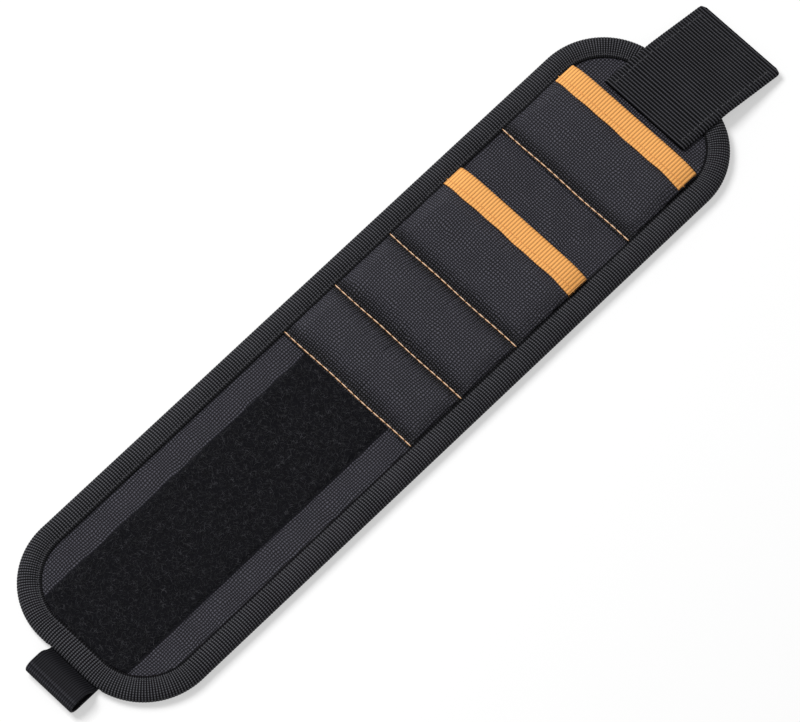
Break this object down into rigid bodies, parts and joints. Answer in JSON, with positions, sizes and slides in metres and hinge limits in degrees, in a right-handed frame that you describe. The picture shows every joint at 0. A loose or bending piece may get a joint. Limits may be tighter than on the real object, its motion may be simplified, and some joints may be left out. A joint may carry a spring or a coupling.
{
  "type": "magnetic wristband",
  "caption": "Padded fabric wristband with sewn-in magnets, quilted cells, ribbon-edged pockets, a hook strap that grips a loop pad, and an elastic pull loop.",
  "frame": {"origin": "middle of the wrist face, on the face that lies against the wrist", "axes": "+X along the band towards the closing strap, +Y across the band, +Z out of the outer face"},
  "size_m": [0.3427, 0.078, 0.0113],
  "materials": {
    "face_fabric": "coarse ballistic weave, black, slight sheen",
    "lining_mesh": "black spacer mesh over padding",
    "binding_tape": "ribbed black tape",
    "loop_pile": "fuzzy black loop pile",
    "orange_ribbon": "ribbed orange grosgrain",
    "strap_webbing": "ribbed black webbing",
    "hook_tape": "moulded black hooks",
    "pull_elastic": "black elastic with fine lengthwise ribs",
    "magnet": "plated disc",
    "wadding": "white fibre wadding"
  },
  "bodies": {
    "tail_end": {"tail_end_lining": "lining_mesh", "tail_end_face": "face_fabric", "tail_end_binding": "binding_tape", "tail_end_loop_pad": "loop_pile", "pull_loop_tails": "pull_elastic"},
    "tail_middle": {"tail_middle_lining": "lining_mesh", "tail_middle_face": "face_fabric", "tail_middle_binding_front": "binding_tape", "tail_middle_binding_back": "binding_tape", "tail_middle_loop_pad": "loop_pile"},
    "tail_root": {"tail_root_lining": "lining_mesh", "tail_root_face": "face_fabric", "tail_root_binding_front": "binding_tape", "tail_root_binding_back": "binding_tape", "tail_root_loop_pad": "loop_pile"},
    "cell_one": {"cell_one_lining": "lining_mesh", "cell_one_face": "face_fabric", "cell_one_binding_front": "binding_tape", "cell_one_binding_back": "binding_tape", "cell_one_magnet_front": "magnet", "cell_one_magnet_back": "magnet", "cell_one_cover": "face_fabric", "cell_one_wadding": "wadding"},
    "cell_two": {"cell_two_lining": "lining_mesh", "cell_two_face": "face_fabric", "cell_two_binding_front": "binding_tape", "cell_two_binding_back": "binding_tape", "cell_two_magnet_front": "magnet", "cell_two_magnet_back": "magnet", "cell_two_cover": "face_fabric", "cell_two_wadding": "wadding"},
    "pocket_one": {"pocket_one_lining": "lining_mesh", "pocket_one_face": "face_fabric", "pocket_one_binding_front": "binding_tape", "pocket_one_binding_back": "binding_tape", "pocket_one_magnet_front": "magnet", "pocket_one_magnet_back": "magnet", "pocket_one_panel": "face_fabric", "pocket_one_ribbon": "orange_ribbon"},
    "bridge": {"bridge_lining": "lining_mesh", "bridge_face": "face_fabric", "bridge_binding_front": "binding_tape", "bridge_binding_back": "binding_tape", "bridge_magnet_front": "magnet", "bridge_magnet_back": "magnet"},
    "pocket_two": {"pocket_two_lining": "lining_mesh", "pocket_two_face": "face_fabric", "pocket_two_binding_front": "binding_tape", "pocket_two_binding_back": "binding_tape", "pocket_two_magnet_front": "magnet", "pocket_two_magnet_back": "magnet", "pocket_two_panel": "face_fabric", "pocket_two_ribbon": "orange_ribbon"},
    "strap_end": {"strap_end_lining": "lining_mesh", "strap_end_face": "face_fabric", "strap_end_binding": "binding_tape", "strap_sewn_end": "strap_webbing"},
    "strap_tongue": {"strap_tongue": "strap_webbing", "strap_hook_pad": "hook_tape"},
    "pull_loop": {"pull_loop": "pull_elastic"}
  },
  "joints": [
    {"name": "wrap", "type": "hinge", "parent": "cell_one", "child": "tail_root", "pos_m": [-0.0151, 0, 0], "axis": [0, -1, 0], "range_deg": [0, 33.7]},
    {"name": "tail_middle_bend", "type": "hinge", "parent": "tail_root", "child": "tail_middle", "pos_m": [-0.0609, 0, 0], "axis": [0, -1, 0], "range_deg": [0, 68.9]},
    {"name": "tail_end_bend", "type": "hinge", "parent": "tail_middle", "child": "tail_end", "pos_m": [-0.1067, 0, 0], "axis": [0, -1, 0], "range_deg": [0, 80.1]},
    {"name": "cell_two_bend", "type": "hinge", "parent": "cell_one", "child": "cell_two", "pos_m": [0.0097, 0, 0], "axis": [0, 1, 0], "range_deg": [0, 29.5]},
    {"name": "pocket_one_bend", "type": "hinge", "parent": "cell_two", "child": "pocket_one", "pos_m": [0.0369, 0, 0], "axis": [0, 1, 0], "range_deg": [0, 34.2]},
    {"name": "bridge_bend", "type": "hinge", "parent": "pocket_one", "child": "bridge", "pos_m": [0.0724, 0, 0], "axis": [0, 1, 0], "range_deg": [0, 41.9]},
    {"name": "pocket_two_bend", "type": "hinge", "parent": "bridge", "child": "pocket_two", "pos_m": [0.0931, 0, 0], "axis": [0, 1, 0], "range_deg": [0, 44.8]},
    {"name": "strap_end_bend", "type": "hinge", "parent": "pocket_two", "child": "strap_end", "pos_m": [0.1281, 0, 0], "axis": [0, 1, 0], "range_deg": [0, 35.9]},
    {"name": "strap_peel", "type": "hinge", "parent": "strap_end", "child": "strap_tongue", "pos_m": [0.1525, -0.00256, 0.00665], "axis": [0, -1, 0], "range_deg": [0, 110]},
    {"name": "pull_loop_swing", "type": "hinge", "parent": "tail_end", "child": "pull_loop", "pos_m": [-0.15265, -0.005, 0.00005], "axis": [0, -1, 0], "range_deg": [0, 75]}
  ],
  "couplings": [
    {"joint": "tail_middle_bend", "follows": "wrap", "ratio": 2.0445},
    {"joint": "tail_end_bend", "follows": "wrap", "ratio": 2.3768},
    {"joint": "cell_two_bend", "follows": "wrap", "ratio": 0.8753},
    {"joint": "pocket_one_bend", "follows": "wrap", "ratio": 1.0148},
    {"joint": "bridge_bend", "follows": "wrap", "ratio": 1.2433},
    {"joint": "pocket_two_bend", "follows": "wrap", "ratio": 1.3293},
    {"joint": "strap_end_bend", "follows": "wrap", "ratio": 1.0652}
  ]
}
